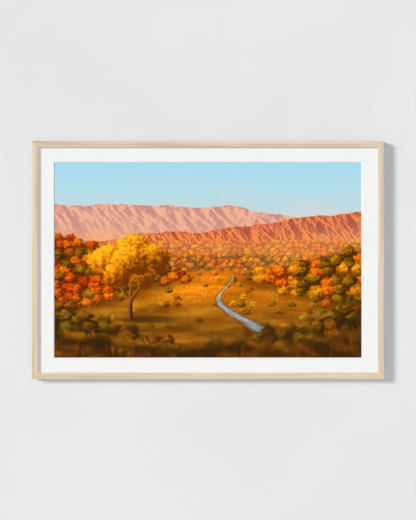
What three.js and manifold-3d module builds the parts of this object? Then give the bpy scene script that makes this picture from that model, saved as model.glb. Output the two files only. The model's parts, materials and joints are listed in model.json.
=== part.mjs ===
// A framed landscape print: a pale wooden rebate frame with mitred corners, seen hung on a wall.
// Millimetres, +Z up. The picture faces -Y and the wall is at y = 0.
// The origin is on the wall side of the top rail, midway along it.
import * as THREE from "three";
import { mergeVertices } from "three/addons/utils/BufferGeometryUtils.js";
import Module from "manifold-3d";

const wasm = await Module();
wasm.setup();

// Driving dimensions
const SHEET = { width: 914.4, height: 609.6 }; // the 36 by 24 inch format that the frame takes
const LIP_COVER = 4; // the lip laps this far over the sheets
const SHEET_PLAY = 0.8; // room round the sheets in the rebate
const RAIL = { face: 17, depth: 22, lip: 3.5, ease: 1 };
const MITRE_GAP = 0.1;
const WINDOW = { width: 821, height: 521.6 }; // the picture that shows in the mat
const PRINT_MARGIN = 10; // the paper runs this far behind the mat on each side
const THICKNESS = { glazing: 1.5, mat: 1.6, print: 0.3, foam: 5, panel: 3 };
const LAYER_GAP = 0.2; // between one sheet and the next
const TAB = { width: 7, thickness: 0.6, driven: 8, over: 12, point: 2.5 };
const TABS = { long: 4, short: 3 };
const SLOT_PLAY = 0.3; // round a fastener in its slot in the wood
const PAST = 1; // a cutter runs this far past the face that it opens
const NAIL = { leg: 5, thickness: 0.5, deep: 10 };
const RING = { wire: 2, halfWidth: 7.4, corner: 2.4, arm: 6 };
const STRAP = { width: 9, length: 26, metal: 0.8, play: 0.3 };
const HANGER = { fromSide: 150, drop: 52 }; // the ring's pivot, from the frame's outer edges
const RIVET = { shank: 1.6, head: 3.2, dome: 0.9, hole: 1.9, drops: [7, 19] };

// Sizes worked out from them
const SIGHT = {
  width: SHEET.width - 2 * LIP_COVER,
  height: SHEET.height - 2 * LIP_COVER,
};
const OUTER = {
  width: SIGHT.width + 2 * RAIL.face,
  height: SIGHT.height + 2 * RAIL.face,
};
const WALL = RAIL.face - LIP_COVER - SHEET_PLAY; // the wood beside the rebate
const WIRE_R = RING.wire / 2;
const EYE_R = WIRE_R + STRAP.play;
const LOOP_R = EYE_R + STRAP.metal;

// Each sheet's front and back, from the lip towards the wall
const LAYER = {};
let reached = RAIL.lip - RAIL.depth;
for (const [name, thickness] of Object.entries(THICKNESS)) {
  const front = reached + LAYER_GAP;
  reached = front + thickness;
  LAYER[name] = { front, back: reached };
}
const BEHIND_PANEL = LAYER.panel.back + LAYER_GAP; // where the tabs and the hangers lie

const finish = (color, roughness, metalness = 0) =>
  new THREE.MeshStandardMaterial({ color, roughness, metalness });
const MAPLE = finish(0xe6cfa9, 0.6);
const ACRYLIC = new THREE.MeshStandardMaterial({
  color: 0xf4f8f8,
  roughness: 0.05,
  metalness: 0,
  transparent: true,
  opacity: 0.15,
});
const MAT_BOARD = finish(0xf7f7f5, 0.9);
const PAPER = finish(0xc98a4e, 0.7);
const FOAM_BOARD = finish(0xf2f0ea, 0.9);
const HARDBOARD = finish(0x8a6544, 0.8);
const STEEL = finish(0x8e9196, 0.4, 1);
const NICKEL = finish(0xb9b6ae, 0.3, 1);

// A geometry as a solid that can be joined and cut
function solidOf(geometry) {
  const bare = geometry.index ? geometry.toNonIndexed() : geometry.clone();
  bare.deleteAttribute("normal");
  bare.deleteAttribute("uv");
  const merged = mergeVertices(bare, 1e-4);
  return new wasm.Manifold(
    new wasm.Mesh({
      numProp: 3,
      vertProperties: merged.attributes.position.array,
      triVerts: new Uint32Array(merged.index.array),
    }),
  );
}

// A solid as a geometry
function geometryOf(solid) {
  const mesh = solid.getMesh();
  const geometry = new THREE.BufferGeometry();
  geometry.setAttribute(
    "position",
    new THREE.BufferAttribute(mesh.vertProperties, 3),
  );
  geometry.setIndex(new THREE.BufferAttribute(mesh.triVerts, 1));
  return geometry;
}

function cut(geometry, cutters) {
  const left = cutters.reduce(
    (solid, cutter) => solid.subtract(solidOf(cutter)),
    solidOf(geometry),
  );
  return geometryOf(left);
}

// Moves each point of a geometry to where the function puts it
function reshape(geometry, move) {
  const position = geometry.attributes.position;
  const point = new THREE.Vector3();
  for (let i = 0; i < position.count; i++) {
    point.fromBufferAttribute(position, i);
    move(point);
    position.setXYZ(i, point.x, point.y, point.z);
  }
  return geometry;
}

// A flat piece with its outline in X and Z, whose face towards the wall is at y = back
function slab(outline, thickness, back, curveSegments = 8) {
  const geometry = new THREE.ExtrudeGeometry(outline, {
    depth: thickness,
    bevelEnabled: false,
    curveSegments,
  });
  return geometry.rotateX(Math.PI / 2).translate(0, back, 0);
}

function block(low, high) {
  const size = high.clone().sub(low);
  const middle = high.clone().add(low).multiplyScalar(0.5);
  return new THREE.BoxGeometry(size.x, size.y, size.z).translate(
    middle.x,
    middle.y,
    middle.z,
  );
}

function rectangle(width, height, Kind = THREE.Shape) {
  const [x, z] = [width / 2, height / 2];
  return new Kind([
    new THREE.Vector2(-x, -z),
    new THREE.Vector2(x, -z),
    new THREE.Vector2(x, z),
    new THREE.Vector2(-x, z),
  ]);
}

function circle(x, z, radius) {
  const path = new THREE.Path();
  path.absarc(x, z, radius, 0, 2 * Math.PI, false);
  return path;
}

// The rail's section: x runs in from the frame's outer edge, y runs back from its front face
function railSection() {
  const { face, depth, lip, ease } = RAIL;
  const section = new THREE.Shape();
  section.moveTo(0, depth);
  section.lineTo(0, ease);
  section.absarc(ease, ease, ease, Math.PI, 1.5 * Math.PI, false);
  section.lineTo(face - ease, 0);
  section.absarc(face - ease, ease, ease, 1.5 * Math.PI, 2 * Math.PI, false);
  section.lineTo(face, lip);
  section.lineTo(WALL, lip);
  section.lineTo(WALL, depth);
  return section;
}

// The places along a side where a tab is driven in
const tabPlaces = (length, count) =>
  Array.from({ length: count }, (_, i) => ((i + 0.5) / count - 0.5) * length);

function tabSlot(x) {
  const half = TAB.width / 2 + SLOT_PLAY;
  const front = BEHIND_PANEL - SLOT_PLAY;
  const back = BEHIND_PANEL + TAB.thickness + SLOT_PLAY;
  return block(
    new THREE.Vector3(x - half, front, WALL - TAB.driven - SLOT_PLAY),
    new THREE.Vector3(x + half, back, WALL + PAST),
  );
}

// The half of a corner nail's slot that lies in one rail, at the end on this side
function nailSlot(half, side) {
  const apex = half - WALL / 2;
  const across = NAIL.thickness / 2 + SLOT_PLAY;
  const near = side * (apex + across);
  const far = side * (apex - NAIL.leg - SLOT_PLAY);
  const [low, high] = [Math.min(near, far), Math.max(near, far)];
  return block(
    new THREE.Vector3(low, -NAIL.deep - SLOT_PLAY, WALL / 2 - across),
    new THREE.Vector3(high, PAST, WALL / 2 + across),
  );
}

// A mitred rail along X, with its outer edge at z = 0 and its inside towards +Z
function railGeometry(length, tabs) {
  const half = length / 2;
  const cutBack = MITRE_GAP * Math.SQRT1_2;
  const straight = new THREE.ExtrudeGeometry(railSection(), {
    depth: 1,
    bevelEnabled: false,
    curveSegments: 4,
  });
  const mitred = reshape(straight, (point) => {
    const { x: inward, y: back, z: end } = point;
    point.set(
      (1 - 2 * end) * (half - inward - cutBack),
      back - RAIL.depth,
      inward,
    );
  });
  return cut(mitred, [
    ...tabs.map(tabSlot),
    nailSlot(half, -1),
    nailSlot(half, 1),
  ]);
}

// A steel tab, pointed where it is driven into the wood and round where it lies over the panel
function tabGeometry() {
  const half = TAB.width / 2;
  const buried = WALL - TAB.driven;
  const tip = WALL + SHEET_PLAY + TAB.over;
  const outline = new THREE.Shape();
  outline.moveTo(half, buried + TAB.point);
  outline.lineTo(half, tip - half);
  outline.absarc(0, tip - half, half, 0, Math.PI, false);
  outline.lineTo(-half, buried + TAB.point);
  outline.lineTo(0, buried);
  return slab(outline, TAB.thickness, BEHIND_PANEL + TAB.thickness);
}

// A folded nail that crosses the mitre, with one leg in each rail
function nailGeometry() {
  const { leg, thickness, deep } = NAIL;
  const half = thickness / 2;
  const outline = new THREE.Shape([
    new THREE.Vector2(half, -half),
    new THREE.Vector2(half, leg),
    new THREE.Vector2(-half, leg),
    new THREE.Vector2(-half, half),
    new THREE.Vector2(-leg, half),
    new THREE.Vector2(-leg, -half),
  ]);
  return slab(outline, deep - LAYER_GAP, -LAYER_GAP);
}

// The mat's window is cut at 45 degrees, so it is wider in front by the board's thickness
function matGeometry() {
  const outline = rectangle(SHEET.width, SHEET.height);
  outline.holes.push(rectangle(WINDOW.width, WINDOW.height, THREE.Path));
  const { front, back } = LAYER.mat;
  const halfway = (SHEET.width + WINDOW.width) / 4; // between the window's side and the board's
  return reshape(slab(outline, THICKNESS.mat, back), (point) => {
    const inWindow = Math.abs(point.x) < halfway;
    if (inWindow && Math.abs(point.y - front) < THICKNESS.mat / 2) {
      point.x += Math.sign(point.x) * THICKNESS.mat;
      point.z += Math.sign(point.z) * THICKNESS.mat;
    }
  });
}

// The hangers' pivots, from the frame's middle
const pivots = [-1, 1].map((side) => ({
  name: side < 0 ? "left" : "right",
  x: side * (OUTER.width / 2 - HANGER.fromSide),
  y: BEHIND_PANEL + STRAP.metal + STRAP.play + WIRE_R,
  z: OUTER.height / 2 - HANGER.drop,
}));

function panelGeometry() {
  const outline = rectangle(SHEET.width, SHEET.height);
  for (const { x, z } of pivots)
    for (const drop of RIVET.drops)
      outline.holes.push(circle(x, z - drop, RIVET.hole));
  return slab(outline, THICKNESS.panel, LAYER.panel.back);
}

// A strip folded round the ring's bar, both layers flat below it, about the ring's pivot
function strapGeometry() {
  const half = STRAP.width / 2;
  const outline = new THREE.Shape();
  outline.moveTo(-half, 0);
  outline.lineTo(-half, half - STRAP.length);
  outline.absarc(0, half - STRAP.length, half, Math.PI, 2 * Math.PI, false);
  outline.lineTo(half, 0);
  for (const drop of RIVET.drops)
    outline.holes.push(circle(0, -drop, RIVET.hole));
  const strip = slab(outline, 2 * STRAP.metal, 2 * STRAP.metal - LOOP_R);
  const round = (radius, length) =>
    new THREE.CylinderGeometry(radius, radius, length, 32).rotateZ(Math.PI / 2);
  return geometryOf(
    solidOf(strip)
      .add(solidOf(round(LOOP_R, STRAP.width)))
      .subtract(solidOf(round(EYE_R, STRAP.width + 2 * PAST))),
  );
}

// A wire bent into a D that stands up from its straight bar, about its pivot
function ringGeometry() {
  const { halfWidth, corner, arm } = RING;
  const path = new THREE.Path();
  path.moveTo(corner - halfWidth, 0);
  path.lineTo(halfWidth - corner, 0);
  path.absarc(halfWidth - corner, corner, corner, -Math.PI / 2, 0, false);
  path.lineTo(halfWidth, arm);
  path.absarc(0, arm, halfWidth, 0, Math.PI, false);
  path.lineTo(-halfWidth, corner);
  path.absarc(
    corner - halfWidth,
    corner,
    corner,
    Math.PI,
    1.5 * Math.PI,
    false,
  );
  const points = path.getPoints(8).slice(0, -1);
  return wireLoop(points, WIRE_R, 12);
}

// A round wire along a closed path in X and Z
function wireLoop(points, radius, sides) {
  const position = [];
  const index = [];
  const count = points.length;
  points.forEach((point, i) => {
    const along = points[(i + 1) % count].clone().sub(points.at(i - 1));
    along.normalize();
    for (let k = 0; k < sides; k++) {
      const angle = (2 * Math.PI * k) / sides;
      const out = radius * Math.cos(angle);
      position.push(
        point.x + along.y * out,
        radius * Math.sin(angle),
        point.y - along.x * out,
      );
      const next = (k + 1) % sides;
      const [a, b] = [i * sides + k, i * sides + next];
      const ahead = ((i + 1) % count) * sides;
      index.push(a, b, ahead + next, a, ahead + next, ahead + k);
    }
  });
  const geometry = new THREE.BufferGeometry();
  geometry.setAttribute(
    "position",
    new THREE.Float32BufferAttribute(position, 3),
  );
  geometry.setIndex(index);
  return geometry;
}

// A rivet with a domed head on the strap and its shank through the panel, about the strap's face
function rivetGeometry() {
  const { shank, head, dome } = RIVET;
  const length = 2 * STRAP.metal + 2 * LAYER_GAP + THICKNESS.panel;
  const profile = new THREE.Path();
  profile.moveTo(0, LAYER_GAP - length);
  profile.lineTo(shank, LAYER_GAP - length);
  profile.lineTo(shank, LAYER_GAP);
  profile.lineTo(head, LAYER_GAP);
  profile.quadraticCurveTo(head, LAYER_GAP + dome, 0, LAYER_GAP + dome);
  return new THREE.LatheGeometry(profile.getPoints(6), 24);
}

const picture = new THREE.Group();
picture.position.z = WALL / 2 - OUTER.height / 2; // its middle

function place(name, geometry, material, parent = picture) {
  const mesh = new THREE.Mesh(geometry, material);
  mesh.name = name;
  parent.add(mesh);
  return mesh;
}

// Four sides, each a group turned about the frame's middle with its rail at the bottom
const sides = ["bottom", "left", "top", "right"];
sides.forEach((side, turn) => {
  const level = turn % 2 === 0;
  const length = level ? OUTER.width : OUTER.height;
  const tabs = tabPlaces(
    level ? SHEET.width : SHEET.height,
    level ? TABS.long : TABS.short,
  );
  const turned = new THREE.Group();
  turned.rotation.y = (turn * Math.PI) / 2;
  const edge = new THREE.Group();
  edge.position.z = (level ? OUTER.height : OUTER.width) / -2;
  turned.add(edge);
  picture.add(turned);

  place(`rail_${side}`, railGeometry(length, tabs), MAPLE, edge);
  const nail = place(`corner_nail_${turn + 1}`, nailGeometry(), STEEL, edge);
  nail.position.set(length / 2 - WALL / 2, 0, WALL / 2);
  tabs.forEach((x, i) => {
    place(`tab_${side}_${i + 1}`, tabGeometry(), STEEL, edge).position.x = x;
  });
});

const full = rectangle(SHEET.width, SHEET.height);
const paper = rectangle(
  WINDOW.width + 2 * PRINT_MARGIN,
  WINDOW.height + 2 * PRINT_MARGIN,
);
place("glazing", slab(full, THICKNESS.glazing, LAYER.glazing.back), ACRYLIC);
place("mat_board", matGeometry(), MAT_BOARD);
place("print_sheet", slab(paper, THICKNESS.print, LAYER.print.back), PAPER);
place("foam_board", slab(full, THICKNESS.foam, LAYER.foam.back), FOAM_BOARD);
place("back_panel", panelGeometry(), HARDBOARD);

for (const { name, x, y, z } of pivots) {
  place(`hanger_strap_${name}`, strapGeometry(), NICKEL).position.set(x, y, z);
  place(`hanger_ring_${name}`, ringGeometry(), NICKEL).position.set(x, y, z);
  const strapFace = BEHIND_PANEL + 2 * STRAP.metal;
  RIVET.drops.forEach((drop, i) => {
    const rivet = place(
      `hanger_rivet_${name}_${i + 1}`,
      rivetGeometry(),
      NICKEL,
    );
    rivet.position.set(x, strapFace, z - drop);
  });
}

export default picture;
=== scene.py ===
"""The looks of a framed landscape print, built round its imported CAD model.

Metres, +Z up. The picture faces -Y and hangs on a wall at y = 0.
"""

import json
import logging
import math
from collections.abc import Callable, Iterator, Sequence
from contextlib import contextmanager
from dataclasses import dataclass, field
from enum import Enum
from typing import TypeAlias

import bmesh
import bpy
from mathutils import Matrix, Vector


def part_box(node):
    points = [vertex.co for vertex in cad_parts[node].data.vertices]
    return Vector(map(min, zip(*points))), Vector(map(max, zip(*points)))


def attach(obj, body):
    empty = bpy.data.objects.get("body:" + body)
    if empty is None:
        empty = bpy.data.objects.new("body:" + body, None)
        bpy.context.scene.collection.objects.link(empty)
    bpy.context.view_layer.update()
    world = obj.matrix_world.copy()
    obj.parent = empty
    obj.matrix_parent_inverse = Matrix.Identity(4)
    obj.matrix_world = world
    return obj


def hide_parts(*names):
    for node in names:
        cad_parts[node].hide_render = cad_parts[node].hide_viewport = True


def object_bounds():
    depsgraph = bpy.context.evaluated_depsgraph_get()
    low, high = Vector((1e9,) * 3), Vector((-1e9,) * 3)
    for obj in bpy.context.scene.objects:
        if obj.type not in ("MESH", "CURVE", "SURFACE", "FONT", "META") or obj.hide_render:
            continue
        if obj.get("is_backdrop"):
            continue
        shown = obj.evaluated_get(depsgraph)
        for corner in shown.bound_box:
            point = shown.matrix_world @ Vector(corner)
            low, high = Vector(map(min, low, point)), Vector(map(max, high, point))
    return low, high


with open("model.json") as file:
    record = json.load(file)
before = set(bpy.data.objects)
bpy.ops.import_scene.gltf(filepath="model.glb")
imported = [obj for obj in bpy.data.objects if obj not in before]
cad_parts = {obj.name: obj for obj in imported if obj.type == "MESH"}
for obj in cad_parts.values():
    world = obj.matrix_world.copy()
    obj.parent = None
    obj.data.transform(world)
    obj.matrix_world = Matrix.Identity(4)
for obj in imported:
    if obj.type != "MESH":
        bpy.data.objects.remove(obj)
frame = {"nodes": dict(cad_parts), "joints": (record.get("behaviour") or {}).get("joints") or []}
cad_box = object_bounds()

log = logging.getLogger("framed_print")

MM = 0.001
BODY = "picture_frame"

Colour: TypeAlias = tuple[float, float, float, float]
Piece: TypeAlias = bpy.types.Object
Material: TypeAlias = bpy.types.Material
Socket: TypeAlias = bpy.types.NodeSocket
Value: TypeAlias = "Signal | Socket | Sequence[float] | float"


def tone(red: float, green: float, blue: float) -> Colour:
    """Turns a colour as a screen shows it into the shader's linear colour.

    Args:
        red: From 0 to 255.
        green: From 0 to 255.
        blue: From 0 to 255.

    Returns:
        The linear colour, solid.
    """

    def linear(level: float) -> float:
        """Undoes the screen's standard curve for one channel."""
        share = level / 255
        return share / 12.92 if share <= 0.04045 else ((share + 0.055) / 1.055) ** 2.4

    return linear(red), linear(green), linear(blue), 1.0


# Shader nodes


class NodeSheet:
    """One material's shader nodes, added and linked from code."""

    def __init__(self, name: str) -> None:
        """Makes an empty material.

        Args:
            name: The material's name.
        """
        self.material = bpy.data.materials.new(name)
        self.material.use_nodes = True
        self.tree = self.material.node_tree
        self.tree.nodes.clear()

    def add(self, kind: str, feeds: dict | None = None, **settings: object) -> bpy.types.Node:
        """Adds a node.

        Args:
            kind: The node's type, without its usual beginning.
            feeds: What each input gets, by its name or number.
            settings: The node's own settings.

        Returns:
            The node.
        """
        node = self.tree.nodes.new("ShaderNode" + kind)
        for name, value in settings.items():
            setattr(node, name, value)
        for name, value in (feeds or {}).items():
            self.feed(node.inputs[name], value)
        return node

    def feed(self, socket: Socket, value: Value) -> None:
        """Links a signal or an output to an input, or sets the input to a constant.

        Args:
            socket: The input.
            value: What it gets.
        """
        source = value.socket if isinstance(value, Signal) else value
        if isinstance(source, Socket):
            self.tree.links.new(source, socket)
        else:
            socket.default_value = source

    def signal(self, socket: Socket) -> "Signal":
        """Wraps an output, so that it can be used in sums."""
        return Signal(self, socket)

    def math(self, operation: str, *terms: Value, clamp: bool = False) -> "Signal":
        """Adds a Math node.

        Args:
            operation: What it works out.
            terms: What it works on, up to three.
            clamp: Whether the result is kept between 0 and 1.

        Returns:
            The result.
        """
        feeds = dict(enumerate(terms))
        node = self.add("Math", feeds, operation=operation, use_clamp=clamp)
        return self.signal(node.outputs[0])

    def place(self, scale: Sequence[float], offset: Sequence[float] = (0, 0, 0)) -> Socket:
        """Gives the piece's own coordinates, scaled, then moved.

        Args:
            scale: Along each axis.
            offset: Along each axis.

        Returns:
            The vector output.
        """
        coordinates = self.add("TexCoord").outputs["Object"]
        feeds = {"Vector": coordinates, "Scale": scale, "Location": offset}
        return self.add("Mapping", feeds).outputs[0]

    def split(self, vector: Socket) -> tuple["Signal", "Signal", "Signal"]:
        """Gives a vector's three parts."""
        parts = self.add("SeparateXYZ", {0: vector}).outputs
        return self.signal(parts[0]), self.signal(parts[1]), self.signal(parts[2])

    def join(self, x: Value, y: Value, z: Value = 0.0) -> Socket:
        """Makes a vector of three parts."""
        return self.add("CombineXYZ", {0: x, 1: y, 2: z}).outputs[0]

    def noise(
        self, at: Socket, detail: float = 3.0, roughness: float = 0.6, distortion: float = 0.0
    ) -> "Signal":
        """Adds cloudy noise of one wave to a unit.

        Args:
            at: Where it is read.
            detail: How many finer layers lie on the first.
            roughness: How strong each finer layer is.
            distortion: How far the noise bends itself.

        Returns:
            The noise, about 0 to 1.
        """
        feeds = {"Vector": at, "Scale": 1.0, "Detail": detail}
        feeds.update({"Roughness": roughness, "Distortion": distortion})
        return self.signal(self.add("TexNoise", feeds).outputs["Fac"])

    def pattern(self, waves: Sequence[float] | float, *layers: float) -> "Signal":
        """Adds noise that is fixed to the piece, by its waves to a metre and noise's settings."""
        scale = waves if isinstance(waves, Sequence) else (waves,) * 3
        return self.noise(self.place(scale), *layers)

    def ridges(self, at: Socket) -> "Signal":
        """Adds noise with sharp ridges.

        Args:
            at: Where it is read.

        Returns:
            The noise, brought from its own range to about 0 to 1.
        """
        feeds = {"Vector": at, "Scale": 1.0, "Detail": 6.0, "Roughness": 0.58}
        feeds.update({"Offset": 1.0, "Gain": 2.0})
        node = self.add("TexNoise", feeds, noise_type="RIDGED_MULTIFRACTAL")
        return self.signal(node.outputs["Fac"]) * 0.9 - 0.76

    def cells(self, x: "Signal", y: "Signal", scatter: float = 1.0) -> "Cells":
        """Divides a plane into cells, one round each of many scattered points.

        Args:
            x: Across the plane, in cells.
            y: Up the plane, in cells.
            scatter: How far the points stray from an even grid, from 0 to 1.

        Returns:
            Where each point of the plane lies among the cells.
        """
        feeds = {"Vector": self.join(x, y), "Scale": 1.0, "Randomness": scatter}
        outputs = self.add("TexVoronoi", feeds, voronoi_dimensions="2D").outputs
        middle_x, middle_y, _ = self.split(outputs["Position"])
        chance, second_chance, _ = self.split(outputs["Color"])
        apart = self.signal(outputs["Distance"])
        return Cells(x, y, middle_x, middle_y, apart, chance, second_chance)

    def spread(
        self, value: Value, low: float, high: float, to_low: float = 0.0, to_high: float = 1.0
    ) -> "Signal":
        """Eases a value from one range into another, flat outside it.

        Args:
            value: The signal.
            low: Where it starts, which may lie above high.
            high: Where it ends.
            to_low: The result at the start.
            to_high: The result at the end.

        Returns:
            The eased signal.
        """
        rising = low < high
        feeds = {
            0: value,
            1: low if rising else high,
            2: high if rising else low,
            3: to_low if rising else to_high,
            4: to_high if rising else to_low,
        }
        node = self.add("MapRange", feeds, interpolation_type="SMOOTHSTEP")
        return self.signal(node.outputs[0])

    def ramp(self, value: Value, stops: Sequence[tuple[float, Colour]]) -> Socket:
        """Turns a value into a colour.

        Args:
            value: The signal.
            stops: Each stop's place, from 0 to 1, and its colour.

        Returns:
            The colour output.
        """
        node = self.add("ValToRGB", {"Fac": value})
        elements = node.color_ramp.elements
        while len(elements) < len(stops):
            elements.new(1.0)
        for element, (place, colour) in zip(elements, stops):
            element.position = place
            element.color = colour
        return node.outputs["Color"]

    def mix(self, share: Value, first: Value, second: Value, **settings: object) -> Socket:
        """Mixes the second colour into the first by its share, or as the node's settings say."""
        node = self.add("Mix", {0: share, 6: first, 7: second}, data_type="RGBA", **settings)
        return node.outputs[2]

    def bump(self, height: Value, depth: float, strength: float) -> Socket:
        """Gives the normal of a surface raised by a height of this depth in metres."""
        feeds = {"Height": height, "Distance": depth, "Strength": strength}
        return self.add("Bump", feeds).outputs[0]

    def surface(self, feeds: dict[str, Value]) -> Material:
        """Adds the main shader with these inputs, shows it and gives the material."""
        shader = self.add("BsdfPrincipled", feeds)
        return self.show(shader.outputs[0])

    def show(self, shader: Socket) -> Material:
        """Links a shader to the material's surface and gives the material."""
        self.add("OutputMaterial", {"Surface": shader})
        return self.material


@dataclass(frozen=True)
class Signal:
    """A number that a node gives, which can be used in sums."""

    sheet: NodeSheet
    socket: Socket

    def __add__(self, other: Value) -> "Signal":
        """Adds a signal or number."""
        return self.sheet.math("ADD", self, other)

    def __sub__(self, other: Value) -> "Signal":
        """Takes a signal or number off."""
        return self.sheet.math("SUBTRACT", self, other)

    def __rsub__(self, other: Value) -> "Signal":
        """Takes this off a number."""
        return self.sheet.math("SUBTRACT", other, self)

    def __mul__(self, other: Value) -> "Signal":
        """Multiplies by a signal or number."""
        return self.sheet.math("MULTIPLY", self, other)

    def __truediv__(self, other: Value) -> "Signal":
        """Divides by a signal or number."""
        return self.sheet.math("DIVIDE", self, other)

    def most(self, other: Value) -> "Signal":
        """Gives the greater of this and another."""
        return self.sheet.math("MAXIMUM", self, other)

    def least(self, other: Value) -> "Signal":
        """Gives the smaller of this and another."""
        return self.sheet.math("MINIMUM", self, other)

    __radd__ = __add__
    __rmul__ = __mul__


@dataclass(frozen=True)
class Cells:
    """Where each point of a plane lies among scattered cells."""

    x: Signal
    y: Signal
    middle_x: Signal
    middle_y: Signal
    apart: Signal  # from the cell's middle
    chance: Signal  # from 0 to 1, the same all over a cell
    second_chance: Signal

    def slope(self, up: float, left: float) -> Signal:
        """Gives how far a point lies up and left of its cell's middle, by these shares."""
        return (self.y - self.middle_y) * up - (self.x - self.middle_x) * left


# The landscape on the print, whose lengths are in picture heights


@dataclass(frozen=True)
class Line:
    """A line across the picture, such as a hill's crest or a wood's foot."""

    level: float  # its height at the picture's middle
    tilt: float = 0.0  # how steeply it rises to the right
    bow: float = 0.0  # how much it rises towards both sides
    swell: float = 0.0  # how high its long waves are
    pace: float = 2.0  # how many of them come to a picture height
    seed: float = 0.0
    ragged: float = 0.0  # how high its fine teeth are
    teeth: float = 60.0  # how many of them come to a picture height

    def height(self, sheet: NodeSheet, across: Signal) -> Signal:
        """Gives the line's height.

        Args:
            sheet: The nodes that it is added to.
            across: How far right of the picture's middle.

        Returns:
            The height above the picture's foot.
        """
        height = across * self.tilt + self.level
        if self.bow:
            height = height + across * across * self.bow
        if self.swell:
            at = sheet.join(across * self.pace, self.seed)
            height = height + (sheet.noise(at, 4.0, 0.5) - 0.5) * self.swell
        if self.ragged:
            at = sheet.join(across * self.teeth, self.seed)
            height = height + (sheet.noise(at, 3.0, 0.7) - 0.5) * self.ragged
        return height


@dataclass(frozen=True)
class Foliage:
    """The colours of one plant, from its shaded side to its lit one."""

    shade: Colour
    body: Colour
    light: Colour
    reach: float = 0.38  # from the body's stop to the others

    def colour(self, sheet: NodeSheet, lit: Signal) -> Socket:
        """Gives the plant's colour where this much light falls on it, from 0 to 1."""
        stops = [(0.5 - self.reach, self.shade), (0.5, self.body), (0.5 + self.reach, self.light)]
        return sheet.ramp(lit, stops)


GOLD = Foliage(tone(116, 58, 0), tone(212, 124, 6), tone(254, 190, 34))
ORANGE = Foliage(tone(116, 46, 0), tone(222, 100, 4), tone(252, 156, 18))
RUST = Foliage(tone(98, 32, 0), tone(192, 64, 6), tone(240, 116, 22))
OLIVE = Foliage(tone(68, 42, 0), tone(128, 90, 0), tone(202, 146, 10))
DEEP = Foliage(tone(58, 34, 0), tone(108, 66, 0), tone(180, 110, 6))
BROWN = Foliage(tone(70, 36, 0), tone(140, 76, 0), tone(208, 124, 10))
NEAR_GRASS = Foliage(tone(104, 58, 0), tone(176, 104, 4), tone(238, 158, 18), reach=0.4)
FAR_GRASS = Foliage(tone(182, 92, 4), tone(226, 132, 12), tone(254, 192, 48), reach=0.4)
GROUND_SHADE = tone(70, 36, 2)
HAZE = tone(240, 176, 138)
SUNSET = (1.32, 1.13, 0.6, 1.0)  # what the low sun multiplies each channel by


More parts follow.
